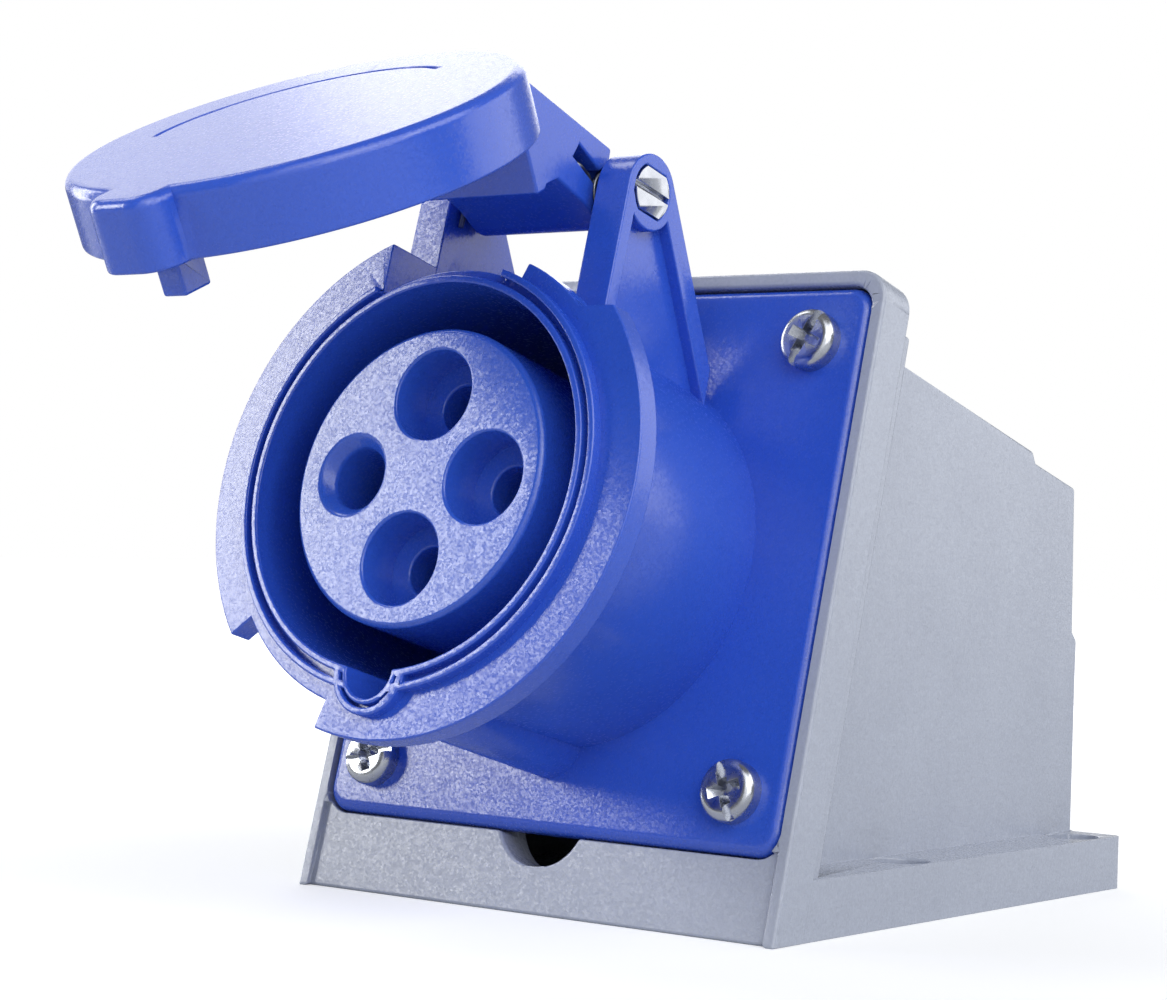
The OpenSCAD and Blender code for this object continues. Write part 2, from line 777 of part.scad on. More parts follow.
module socket_body() {
    color(blue)
        socket_axis()
            difference() {
                union() {
                    panel_plate();
                    cylinder(r1 = bore_r + sleeve_foot_t, r2 = bore_r + sleeve_top_t, h = ring_top);
                    cylinder(r = lip_in_r, h = collar_h);
                    rotate([0, 0, lip_gap_to])
                        rotate_extrude(angle = 360 + lip_gap_from - lip_gap_to)
                            translate([lip_out_r0, ring_top - ring_t / 2])
                                square([lip_t, ring_t / 2 + lip_h]);
                    locking_ring();
                    translate([0, key_boss_v, 0]) cylinder(r = key_out_r, h = ring_top - eps);
                    key_lips();
                    for (side = sides) arm_bar(side);
                    translate([0, 0, -panel_t - spigot_l]) cylinder(r = spigot_r, h = spigot_l + eps);
                }
                translate([0, 0, seat_t - seat_w]) cylinder(r = bore_r, h = collar_h);
                translate([0, 0, -panel_t]) cylinder(r = seat_hole_r, h = collar_h);
                translate([0, 0, -panel_t - spigot_l - eps])
                    cylinder(r = bore_r, h = panel_t + spigot_l + eps - seat_w);
                translate([0, 0, flange_back - circlip_t - circlip_play])
                    cylinder(r = circlip_r + circlip_play, h = circlip_t + 2 * circlip_play);
                translate([0, key_v, seat_t - seat_w]) cylinder(r = key_r, h = collar_h);
                at_screws()
                    translate([0, 0, -panel_t - eps])
                        cylinder(r = screw_d / 2 + screw_play, h = panel_t + 2 * eps);
                translate([0, hinge_up, hinge_out]) {
                    rod(pin_r + pin_fixed_play, -arm_out - eps, arm_out + eps);
                    pin_head(pin_head_d / 2 + head_play, pin_flats + 2 * head_play, arm_out + eps);
                }
            }
}

// Pan heads with a slot across a cross recess
module panel_screws() {
    turns = [20, -35, 111, 66];
    shank = recess_depth + insert_l;
    places = [for (x = sides, y = sides) [x, y] * screw_pos];
    head_crown = 1.4;
    slot = 1.2;
    cross_l = 5.6;
    cross_deep = 2;
    color(zinc)
        socket_axis()
            for (i = [0 : 3])
                translate([places[i][0], places[i][1], 0])
                    difference() {
                        union() {
                            rotate_extrude()
                                polygon([
                                    [0, 0],
                                    [screw_head_d / 2, 0],
                                    [screw_head_d / 2, screw_head_h - head_crown],
                                    [screw_head_d / 2 - head_crown / 3, screw_head_h - head_crown / 2.2],
                                    [screw_head_d / 2 - head_crown, screw_head_h],
                                    [0, screw_head_h]]);
                            translate([0, 0, -shank]) cylinder(d = screw_d, h = shank + eps);
                        }
                        rotate([0, 0, turns[i]])
                            translate([0, 0, screw_head_h]) {
                                cube([screw_head_d + eps, slot, cross_deep], center = true);
                                cube([cross_l, slot, 2 * cross_deep], center = true);
                                cube([slot, cross_l, 2 * cross_deep], center = true);
                            }
                    }
}

module contact_hole(pin) {
    cylinder(d = pin + hole_play, h = carrier_w + eps);
    translate([0, 0, -rear_w - eps])
        cylinder(r = contact_rear_r(pin) + contact_play, h = contact_tip_w + rear_w + eps);
}

module contact_holes() {
    for (a = phase_angles) at_contact(a) contact_hole(phase_pin_d);
    at_contact(earth_angle) contact_hole(earth_pin_d);
}

// Front of the insert: the face with its holes, and a spigot that centres it on its base
module contact_carrier() {
    color(pale_blue)
        socket_axis()
            difference() {
                union() {
                    translate([0, 0, -seat_w])
                        cylinder(r = carrier_r, h = carrier_w + seat_w - insert_edge);
                    translate([0, 0, carrier_w - insert_edge])
                        cylinder(r1 = carrier_r, r2 = carrier_r - insert_edge, h = insert_edge);
                    translate([0, 0, -seat_w - centre_l]) cylinder(r = centre_r, h = centre_l + eps);
                }
                contact_holes();
                for (a = phase_angles)
                    at_contact(a)
                        translate([0, 0, carrier_w - phase_recess])
                            cylinder(d = phase_recess_d, h = phase_recess + eps);
                at_contact(earth_angle)
                    translate([0, 0, carrier_w - earth_mouth])
                        cylinder(d1 = earth_pin_d + hole_play, d2 = earth_mouth_d, h = earth_mouth);
            }
}

// Rear of the insert: the flange that seats in the body and the block that holds the contacts
module carrier_base() {
    color(pale_blue)
        socket_axis()
            difference() {
                union() {
                    translate([0, 0, flange_back]) cylinder(r = flange_r, h = flange_t);
                    translate([0, 0, -rear_w]) cylinder(r = rear_r, h = rear_w - seat_w);
                }
                contact_holes();
                translate([0, 0, -seat_w - centre_l - eps])
                    cylinder(r = centre_r + centre_play, h = centre_l + 2 * eps);
            }
}

module carrier_circlip() {
    color(steel)
        socket_axis()
            translate([0, 0, flange_back - circlip_t])
                difference() {
                    cylinder(r = circlip_r, h = circlip_t);
                    translate([0, 0, -eps]) cylinder(r = circlip_in_r, h = circlip_t + 2 * eps);
                    translate([-circlip_gap / 2, -circlip_r - eps, -eps])
                        cube([circlip_gap, circlip_r, circlip_t + 2 * eps]);
                }
}

// Slotted socket in front, shoulder against the insert, screw terminal behind
module contact(pin) {
    front_r = contact_front_r(pin);
    back_r = contact_rear_r(pin);
    difference() {
        union() {
            translate([0, 0, contact_waist_w])
                cylinder(r = front_r, h = contact_tip_w - contact_waist_w);
            translate([0, 0, contact_back_w])
                cylinder(r = back_r, h = contact_waist_w - contact_back_w);
            translate([0, 0, -rear_w - shoulder_t]) cylinder(r = back_r + shoulder_out, h = shoulder_t);
        }
        translate([0, 0, contact_tip_w - contact_depth])
            cylinder(d = contact_bore(pin), h = contact_depth + eps);
        translate([0, 0, contact_back_w - eps]) cylinder(d = wire_hole_d, h = terminal_l);
        translate([-slit_w / 2, -front_r - eps, contact_tip_w - slit_l])
            cube([slit_w, 2 * (front_r + eps), slit_l + eps]);
        translate([0, 0, clamp_w]) rod(clamp_d / 2 + thread_play, 0, back_r + eps);
    }
}

module phase_contact_1() {
    color(brass) socket_axis() at_contact(phase_angles[0]) contact(phase_pin_d);
}

module phase_contact_2() {
    color(brass) socket_axis() at_contact(phase_angles[1]) contact(phase_pin_d);
}

module phase_contact_3() {
    color(brass) socket_axis() at_contact(phase_angles[2]) contact(phase_pin_d);
}

module earth_contact() {
    color(brass) socket_axis() at_contact(earth_angle) contact(earth_pin_d);
}

// Split spring ring round a contact's slotted front
module contact_ring(pin) {
    in_r = contact_front_r(pin) + contact_play / 2;
    translate([0, 0, contact_tip_w - band_set - band_l])
        difference() {
            cylinder(r = in_r + band_t, h = band_l);
            translate([0, 0, -eps]) cylinder(r = in_r, h = band_l + 2 * eps);
            translate([0, -slit_w / 2, -eps]) cube([in_r + 2 * eps, slit_w, band_l + 2 * eps]);
        }
}

module phase_contact_rings() {
    color(steel) socket_axis() for (a = phase_angles) at_contact(a) contact_ring(phase_pin_d);
}

module earth_contact_ring() {
    color(steel) socket_axis() at_contact(earth_angle) contact_ring(earth_pin_d);
}

module terminal_screws() {
    tip = 1.4;
    proud = 1.2;
    slot = 0.8;
    color(zinc)
        socket_axis()
            for (c = concat([for (a = phase_angles) [a, phase_pin_d]], [[earth_angle, earth_pin_d]]))
                at_contact(c[0])
                    translate([0, 0, clamp_w])
                        difference() {
                            rod(clamp_d / 2, tip, contact_rear_r(c[1]) + proud);
                            translate([contact_rear_r(c[1]) + proud, 0, 0])
                                cube([2 * slot, clamp_d + eps, slot], center = true);
                        }
}

module lid_tab() {
    hull()
        for (x = sides, y = [lid_r - 2 * tab_r, lid_r + tab_out - tab_r])
            translate([x * (tab_half - tab_r), -y, 0])
                rotate_extrude($fn = hull_fn)
                    polygon(soft_profile(tab_r, lid_w0, lid_w1, lid_edge));
}

// Skirt, sloping back and knuckle, from the lid's wall to the pin
module lid_block() {
    wall_v = lid_r - lid_wall / 2;
    under_w = hinge_out + block_outline[0][1];
    across(2 * block_half)
        polygon(concat(
            [[wall_v, lid_w0], [wall_v, lid_w1 - lid_edge]],
            [for (p = block_outline) [hinge_up, hinge_out] + p],
            [[lid_r + skirt_t, under_w],
                [lid_r + skirt_t - skirt_foot, under_w - skirt_foot],
                [lid_r, under_w - skirt_foot],
                [lid_r, lid_w0]]));
    translate([0, hinge_up, hinge_out]) rod(knuckle_r, -block_half, block_half);
}

module lid() {
    color(blue)
        lid_pose()
            difference() {
                union() {
                    difference() {
                        union() {
                            rotate_extrude() polygon(soft_profile(lid_r, lid_w0, lid_w1, lid_edge));
                            lid_tab();
                            lid_block();
                        }
                        translate([0, 0, lid_w0 - eps])
                            cylinder(r = lid_in_r, h = seal_top - lid_w0 + eps);
                        translate([0, 0, lid_w0 - eps])
                            cylinder(r = lid_core_r, h = lid_core_w - lid_w0 + eps);
                    }
                    translate([-hook_half, hook_v, hook_w])
                        cube([2 * hook_half, hook_d, lid_core_w - hook_w + eps / 2]);
                }
                rotate([0, 0, mark_from])
                    rotate_extrude(angle = mark_sweep)
                        translate([mark_r, lid_w1 - mark_depth])
                            square([mark_w, mark_depth + eps]);
                translate([0, hinge_up, hinge_out]) {
                    rod(pin_r + pin_run_play, -block_half - eps, block_half + eps);
                    difference() {
                        rod(well_r, -block_half - eps, block_half + eps);
                        rod(well_r + eps, -well_x, well_x);
                    }
                    for (side = sides)
                        translate([side * block_half, 0, 0])
                            rotate([slot_angle, 0, 0])
                                translate([0, (slot_near + slot_far) / 2, 0])
                                    cube([2 * slot_depth, slot_far - slot_near, slot_w], center = true);
                }
            }
}

module lid_seal() {
    seal_play = 0.02;
    color(dark_rubber)
        lid_pose()
            difference() {
                rotate_extrude()
                    translate([lid_core_r, seal_top - seal_h])
                        square([seal_w - seal_play, seal_h]);
                translate([-hook_half - 2 * seal_play, -lid_r, lid_w0 - eps])
                    cube([2 * hook_half + 4 * seal_play, lid_r / 2, seal_h + 2 * eps]);
            }
}

module hinge_pin() {
    head_x = arm_out + head_proud;
    tail_x = -arm_out - clip_gap - clip_t - pin_tail;
    color(zinc)
        socket_axis()
            translate([0, hinge_up, hinge_out])
                difference() {
                    union() {
                        rod(pin_r, tail_x, head_x - pin_head_t / 2);
                        pin_head(pin_head_d / 2, pin_flats, head_x);
                    }
                    translate([head_x, 0, 0])
                        cube([pin_head_t, pin_slot, pin_head_d + eps], center = true);
                    difference() {
                        rod(pin_d, -arm_out - 2 * clip_gap - clip_t, -arm_out);
                        rod(clip_neck_r, -arm_out - pin_d, -arm_out + pin_d);
                    }
                }
}

module pin_clip() {
    neck_play = 0.03;
    mouth = 2 * clip_neck_r - 0.4;
    clip_x = -arm_out - clip_gap - clip_t;
    color(steel)
        socket_axis()
            translate([0, hinge_up, hinge_out])
                difference() {
                    rod(clip_d / 2, clip_x, clip_x + clip_t);
                    rod(clip_neck_r + neck_play, clip_x - eps, clip_x + clip_t + eps);
                    translate([clip_x - eps, -clip_d, -mouth / 2])
                        cube([clip_t + 2 * eps, clip_d, mouth]);
                }
}

// Wire swept along a path; no part of the path runs along the reference direction
module wire(path) {
    n = len(path);
    ref = [0.8, 0.36, 0.48];
    around = 10;
    tangents = [for (i = [0 : n - 1]) unit(path[min(i + 1, n - 1)] - path[max(i - 1, 0)])];
    rings = [for (i = [0 : n - 1])
        let (b = unit(cross(tangents[i], ref)), a = cross(b, tangents[i]))
        for (k = [0 : around - 1])
            path[i] + wire_d / 2 * (a * cos(k * 360 / around) + b * sin(k * 360 / around))];
    tube = [for (i = [0 : n - 2], k = [0 : around - 1])
        let (m = (k + 1) % around)
        [i * around + k, i * around + m, (i + 1) * around + m, (i + 1) * around + k]];
    first = [[for (k = [0 : around - 1]) around - 1 - k]];
    last = [[for (k = [0 : around - 1]) (n - 1) * around + k]];
    polyhedron(rings, concat(first, tube, last));
}

// Leg in the lid's slot, two turns in the knuckle's well, leg that bears on the body
module lid_springs() {
    steps = 52;
    bend = 0.9;
    end_angle = slot_angle + coil_turn;
    out = [0, cos(slot_angle), sin(slot_angle)];
    coil_end = [coil_end_x, coil_r * cos(end_angle), coil_r * sin(end_angle)];
    aim = [0, -sin(end_angle), cos(end_angle)];
    path = concat(
        [[coil_x - leg_in, 0, 0] + out * leg_reach,
            [coil_x - bend, 0, 0] + out * leg_reach,
            [coil_x - bend * 0.3, 0, 0] + out * (leg_reach - bend * 0.3),
            [coil_x, 0, 0] + out * (leg_reach - bend),
            [coil_x, 0, 0] + out * (coil_r + bend)],
        [for (i = [1 : steps])
            let (turn = coil_turn * i / steps, a = slot_angle + turn)
            [coil_x + coil_pitch * turn / 360, coil_r * cos(a), coil_r * sin(a)]],
        [coil_end + aim * body_leg / 2, coil_end + aim * body_leg]);
    color(steel)
        lid_pose()
            translate([0, hinge_up, hinge_out]) {
                wire(path);
                mirror([1, 0, 0]) wire(path);
            }
}

back_box();
entry_grommet();
nut_inserts();
panel_gasket();
socket_body();
panel_screws();
contact_carrier();
carrier_base();
carrier_circlip();
phase_contact_1();
phase_contact_2();
phase_contact_3();
earth_contact();
phase_contact_rings();
earth_contact_ring();
terminal_screws();
lid();
lid_seal();
hinge_pin();
pin_clip();
lid_springs();
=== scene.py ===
import json
import math

import bmesh
import bpy
from mathutils import Matrix, Vector
from mathutils.bvhtree import BVHTree

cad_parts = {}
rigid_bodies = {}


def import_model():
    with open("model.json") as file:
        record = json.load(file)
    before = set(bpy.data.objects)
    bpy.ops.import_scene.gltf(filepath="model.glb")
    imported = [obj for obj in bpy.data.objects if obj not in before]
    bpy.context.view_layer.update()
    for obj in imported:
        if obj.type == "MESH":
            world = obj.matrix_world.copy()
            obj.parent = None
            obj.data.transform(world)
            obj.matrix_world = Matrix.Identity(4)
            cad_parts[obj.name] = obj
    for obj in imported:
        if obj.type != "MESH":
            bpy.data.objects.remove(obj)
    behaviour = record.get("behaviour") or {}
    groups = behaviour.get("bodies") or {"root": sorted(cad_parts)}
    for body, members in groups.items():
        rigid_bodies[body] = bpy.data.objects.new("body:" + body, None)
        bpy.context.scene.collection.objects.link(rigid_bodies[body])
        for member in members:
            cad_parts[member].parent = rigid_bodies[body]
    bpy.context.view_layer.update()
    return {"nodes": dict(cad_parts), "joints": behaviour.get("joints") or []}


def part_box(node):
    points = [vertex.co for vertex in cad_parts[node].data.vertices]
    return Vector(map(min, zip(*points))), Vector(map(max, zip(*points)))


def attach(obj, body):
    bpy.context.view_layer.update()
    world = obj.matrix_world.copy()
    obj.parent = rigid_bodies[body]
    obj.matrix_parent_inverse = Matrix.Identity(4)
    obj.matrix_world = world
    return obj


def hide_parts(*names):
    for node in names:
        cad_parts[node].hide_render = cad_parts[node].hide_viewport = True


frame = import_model()

mm = 0.001
sceneObjects = bpy.context.scene.collection.objects

# The leaning front: x runs across, v up the lean, w straight out of the panel
panel = {
    "leanDeg": 14.7,
    "footUp": 12.9,  # from the base's front edge to the panel's lower edge, mm
    "width": 87.4,
}
lean = math.radians(panel["leanDeg"])
upLean = Vector((0, math.sin(lean), math.cos(lean)))
outLean = Vector((0, -math.cos(lean), math.sin(lean)))
baseFront = Vector((0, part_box("back_box")[0].y, 0))
socketMiddle = baseFront + upLean * (panel["footUp"] + panel["width"] / 2) * mm
hinge = frame["joints"][0]
hingeMiddle = Vector(hinge["pos_m"])
lidOpen = math.radians(-hinge["range_deg"][0])  # the lid is drawn this far from closed


# colour and node helpers

def linearColour(hexColour):
    shares = [int(hexColour[i:i + 2], 16) / 255 for i in (0, 2, 4)]
    return [s / 12.92 if s <= 0.04045 else ((s + 0.055) / 1.055) ** 2.4 for s in shares] + [1]


def addNode(tree, kind, inputs=None, **settings):
    node = tree.nodes.new(kind)
    for name, value in settings.items():
        setattr(node, name, value)
    for socket, value in (inputs or {}).items():
        if isinstance(value, bpy.types.NodeSocket):
            tree.links.new(value, node.inputs[socket])
        else:
            node.inputs[socket].default_value = value
    return node


def perMm(size):
    return 1 / (size * mm)  # texture scale for a feature of this many millimetres


def newMaterial(name):
    material = bpy.data.materials.new(name)
    material.use_nodes = True
    material.node_tree.nodes.clear()
    tree = material.node_tree
    place = addNode(tree, "ShaderNodeTexCoord").outputs["Object"]
    return material, tree, place


def finishMaterial(tree, shader):
    addNode(tree, "ShaderNodeOutputMaterial", {"Surface": shader.outputs[0]})


# materials

# Injection-moulded polyamide: even satin colour over a spark-eroded grain, whose small facets
# catch the light one by one and make a lit face sparkle
bluePolyamide = {
    "name": "bluePolyamideSatin",
    "colour": "305BD0",
    "shade": "2A4FBE",
    "roughness": (0.18, 0.3),
    "grain": 0.3,  # real grain is about 0.1 mm, drawn coarser so that it shows
    "sparkle": 0.062,  # how strongly the facets lean
    "mottle": 14,
    "mottleShare": 0.5,  # the rest of the colour's change follows the grain
    "ior": 1.66,
    "gloss": "FFFEEE",
}
insertPolyamide = {
    "name": "insertPolyamideSparkEroded",
    "colour": "3460D0",
    "shade": "2C54BE",
    "roughness": (0.2, 0.32),
    "grain": 0.3,
    "sparkle": 0.08,
    "mottle": 9,
    "mottleShare": 0.5,
    "ior": 1.66,
    "gloss": "FFFEEE",
}
greyPolyamide = {
    "name": "greyPolyamideMatt",
    "colour": "B1B8C7",
    "shade": "9BA1B1",
    "roughness": (0.22, 0.34),
    "grain": 0.4,
    "sparkle": 0.06,
    "mottle": 18,
    "mottleShare": 0.5,
    "ior": 1.53,
    "gloss": "FFFFFF",
}


def mouldedPolyamide(look):
    material, tree, place = newMaterial(look["name"])
    grain = addNode(tree, "ShaderNodeTexVoronoi", {"Vector": place, "Scale": perMm(look["grain"])})
    mottle = addNode(tree, "ShaderNodeTexNoise", {
        "Vector": place, "Scale": perMm(look["mottle"]), "Detail": 3.0, "Roughness": 0.5})
    tone = addNode(tree, "ShaderNodeMix", {
        "Factor": 1 - look["mottleShare"],
        "A": mottle.outputs["Fac"],
        "B": grain.outputs["Color"]}, data_type="FLOAT")
    colour = addNode(tree, "ShaderNodeMix", {
        "Factor": tone.outputs["Result"],
        "A": linearColour(look["colour"]),
        "B": linearColour(look["shade"])}, data_type="RGBA")
    sheen = addNode(tree, "ShaderNodeMapRange", {
        "Value": grain.outputs["Color"],
        "To Min": look["roughness"][0], "To Max": look["roughness"][1]})
    tilt = addNode(tree, "ShaderNodeVectorMath", {
        0: grain.outputs["Color"], 1: (0.5, 0.5, 0.5)}, operation="SUBTRACT")
    surface = addNode(tree, "ShaderNodeNewGeometry")
    facet = addNode(tree, "ShaderNodeVectorMath", {
        0: tilt.outputs[0],
        1: [look["sparkle"]] * 3,
        2: surface.outputs["Normal"]}, operation="MULTIPLY_ADD")
    normal = addNode(tree, "ShaderNodeVectorMath", {0: facet.outputs[0]}, operation="NORMALIZE")
    shader = addNode(tree, "ShaderNodeBsdfPrincipled", {
        "Base Color": colour.outputs["Result"],
        "Roughness": sheen.outputs["Result"],
        "Normal": normal.outputs[0],
        "IOR": look["ior"],
        "Specular Tint": linearColour(look["gloss"])})
    finishMaterial(tree, shader)
    return material


# Bright zinc plate: a cool metal, slightly cloudy, with fine marks all over
zincLook = {
    "name": "brightZincPlate",
    "colour": "C9CCD2",
    "cloud": "AEB2BC",
    "roughness": (0.16, 0.34),
    "cloudSize": 2.2,
    "cloudRange": (0.3, 0.7),  # the part of the noise that the roughness follows
    "markSize": 0.18,
    "markDepth": 0.006,
    "markStrength": 0.6,
}


def platedZinc(look):
    material, tree, place = newMaterial(look["name"])
    cloud = addNode(tree, "ShaderNodeTexNoise", {
        "Vector": place, "Scale": perMm(look["cloudSize"]), "Detail": 4.0, "Roughness": 0.6})
    marks = addNode(tree, "ShaderNodeTexNoise", {
        "Vector": place, "Scale": perMm(look["markSize"]), "Detail": 1.0})
    colour = addNode(tree, "ShaderNodeMix", {
        "Factor": cloud.outputs["Fac"],
        "A": linearColour(look["colour"]),
        "B": linearColour(look["cloud"])}, data_type="RGBA")
    sheen = addNode(tree, "ShaderNodeMapRange", {
        "Value": cloud.outputs["Fac"],
        "From Min": look["cloudRange"][0], "From Max": look["cloudRange"][1],
        "To Min": look["roughness"][0], "To Max": look["roughness"][1]})
    bump = addNode(tree, "ShaderNodeBump", {
        "Height": marks.outputs["Fac"],
        "Strength": look["markStrength"],
        "Distance": look["markDepth"] * mm})
    shader = addNode(tree, "ShaderNodeBsdfPrincipled", {
        "Base Color": colour.outputs["Result"], "Roughness": sheen.outputs["Result"],
        "Normal": bump.outputs["Normal"], "Metallic": 1.0})
    finishMaterial(tree, shader)
    return material


# Turned brass: warm metal with rings left by the tool along the contact's axis
brassLook = {
    "name": "turnedBrass",
    "colour": "C9A35A",
    "tarnish": "A9823F",
    "roughness": 0.28,
    "ringPitch": 3.1416,  # real tool marks are finer, drawn this coarse so that they show
    "ringDepth": 0.01,
    "ringStrength": 0.5,
    "tarnishSize": 3.5,
}
# Drawn spring steel: grey metal with faint bands and duller patches
springLook = {
    "name": "drawnSpringSteel",
    "colour": "8E9299",
    "tarnish": "63676F",
    "roughness": 0.3,
    "ringPitch": 1.885,
    "ringDepth": 0.004,
    "ringStrength": 0.5,
    "tarnishSize": 1.2,
}
waveTurn = 20  # radians that Blender's wave texture turns through in one unit


def turnedMetal(look):
    material, tree, place = newMaterial(look["name"])
    turned = addNode(tree, "ShaderNodeMapping", {
        "Vector": place, "Rotation": (lean - math.pi / 2, 0, 0)})
    rings = addNode(tree, "ShaderNodeTexWave", {
        "Vector": turned.outputs["Vector"],
        "Scale": perMm(look["ringPitch"]) * 2 * math.pi / waveTurn,
        "Distortion": 0.4, "Detail": 1.0}, wave_type="BANDS", bands_direction="Z")
    tarnish = addNode(tree, "ShaderNodeTexNoise", {
        "Vector": place, "Scale": perMm(look["tarnishSize"]), "Detail": 4.0})
    colour = addNode(tree, "ShaderNodeMix", {
        "Factor": tarnish.outputs["Fac"],
        "A": linearColour(look["colour"]),
        "B": linearColour(look["tarnish"])}, data_type="RGBA")
    bump = addNode(tree, "ShaderNodeBump", {
        "Height": rings.outputs["Fac"],
        "Strength": look["ringStrength"],
        "Distance": look["ringDepth"] * mm})
    shader = addNode(tree, "ShaderNodeBsdfPrincipled", {
        "Base Color": colour.outputs["Result"], "Roughness": look["roughness"],
        "Normal": bump.outputs["Normal"], "Metallic": 1.0})
    finishMaterial(tree, shader)
    return material


# EPDM rubber: near black, dull, with a dusty bloom in patches
rubberLook = {
    "name": "epdmRubberMoulded",
    "colour": "1D1E21",
    "bloom": "34363B",
    "roughness": 0.68,
    "bloomSize": 6,
    "grain": 0.4,
    "grainDepth": 0.02,
    "grainStrength": 0.8,
    "ior": 1.48,
}


def mouldedRubber(look):
    material, tree, place = newMaterial(look["name"])
    bloom = addNode(tree, "ShaderNodeTexNoise", {
        "Vector": place, "Scale": perMm(look["bloomSize"]), "Detail": 5.0, "Roughness": 0.65})
    grain = addNode(tree, "ShaderNodeTexNoise", {
        "Vector": place, "Scale": perMm(look["grain"]), "Detail": 2.0})
    colour = addNode(tree, "ShaderNodeMix", {
        "Factor": bloom.outputs["Fac"],
        "A": linearColour(look["colour"]),
        "B": linearColour(look["bloom"])}, data_type="RGBA")
    bump = addNode(tree, "ShaderNodeBump", {
        "Height": grain.outputs["Fac"],
        "Strength": look["grainStrength"],
        "Distance": look["grainDepth"] * mm})
    shader = addNode(tree, "ShaderNodeBsdfPrincipled", {
        "Base Color": colour.outputs["Result"], "Roughness": look["roughness"],
        "Normal": bump.outputs["Normal"], "IOR": look["ior"]})
    finishMaterial(tree, shader)
    return material


materials = {
    "blue_plastic": mouldedPolyamide(bluePolyamide),
    "insert_plastic": mouldedPolyamide(insertPolyamide),
    "box_plastic": mouldedPolyamide(greyPolyamide),
    "zinc": platedZinc(zincLook),
    "brass": turnedMetal(brassLook),
    "spring_steel": turnedMetal(springLook),
    "rubber": mouldedRubber(rubberLook),
}
print("materials made:", len(materials))


# moulded pieces and the pin: copies of the solids with their outer edges rounded

moulding = {
    "merge": 0.05,  # mm, closes the seams between the solid's faces
    "speck": 0.01,  # mm2, faces smaller than this don't say which way a surface looks
    "parallel": 0.999,  # cosine above which two faces lie back to back or side by side
    "flatDeg": 0.3,
    "sharpDeg": 28,
    "segments": 3,
    "room": 0.42,  # share of the nearest neighbouring edge's distance that a rounding may take
    "stray": 0.6,  # share of the radius that a rounded corner may leave the solid by
    "strayReach": (1.3, 2),  # edges within so many gaps and radii of a stray corner give way
    "folded": -0.3,  # cosine to the solid's own outward direction below which a face is folded over
    "attempts": 6,
    "sharpAttempts": 3,  # the last attempts, which leave such edges sharp
    "smaller": 0.5,  # the earlier ones make their rounding this much smaller
    "normalWeight": 80,
}


# Two cuts that share a plane can leave a fin with no thickness: its tip goes back to its root
def dropFins(bm):
    tips = set()
    for vert in bm.verts:
        normals = [f.normal for f in vert.link_faces if f.calc_area() > moulding["speck"] * mm * mm]
        turns = [n.dot(normals[0]) for n in normals]
        inOnePlane = all(abs(t) > moulding["parallel"] for t in turns)
        if turns and inOnePlane and min(turns) < 0:
            tips.add(vert)
    roots = {}
    for tip in tips:
        beside = [e.other_vert(tip) for e in tip.link_edges if e.other_vert(tip) not in tips]
        if beside:
            roots[tip] = min(beside, key=lambda v: (v.co - tip.co).length)
    bmesh.ops.weld_verts(bm, targetmap=roots)
    bmesh.ops.dissolve_degenerate(bm, edges=bm.edges, dist=moulding["merge"] * mm)


def closedMesh(node):
    bm = bmesh.new()
    bm.from_mesh(frame["nodes"][node].data)
    bmesh.ops.remove_doubles(bm, verts=bm.verts, dist=moulding["merge"] * mm)
    dropFins(bm)
    bmesh.ops.join_triangles(
        bm, faces=bm.faces, angle_face_threshold=math.radians(moulding["flatDeg"]),
        angle_shape_threshold=math.pi)
    return bm


def edgeGap(point, edge):
    a, b = (v.co for v in edge.verts)
    along = b - a
    share = max(0.0, min(1.0, (point - a).dot(along) / along.length_squared))
    return (point - a - along * share).length


def edgeRoom(edge, sharpEdges):
    middle = (edge.verts[0].co + edge.verts[1].co) / 2
    beside = {e for f in edge.link_faces for e in f.edges} & sharpEdges
    apart = [e for e in beside if not set(e.verts) & set(edge.verts)]
    return min([edgeGap(middle, e) for e in apart], default=1.0)


def bevelled(bm, piece, radius):
    mesh = bpy.data.meshes.new(piece)
    bm.to_mesh(mesh)
    made = bpy.data.objects.new(piece, mesh)
    sceneObjects.link(made)
    bevel = made.modifiers.new("mouldEdge", "BEVEL")
    bevel.limit_method = "WEIGHT"
    bevel.width = radius
    bevel.segments = moulding["segments"]
    bevel.use_clamp_overlap = False
    return plainMesh(made)


# Middles of the faces that look into the solid, where two roundings have run into each other
def foldedPlaces(made, solid):
    places = []
    for polygon in made.data.polygons:
        outward = solid.find_nearest(polygon.center)[1]
        folded = polygon.normal.dot(outward) < moulding["folded"]
        if folded and polygon.area > moulding["speck"] * mm * mm:
            places.append(polygon.center.copy())
    return places


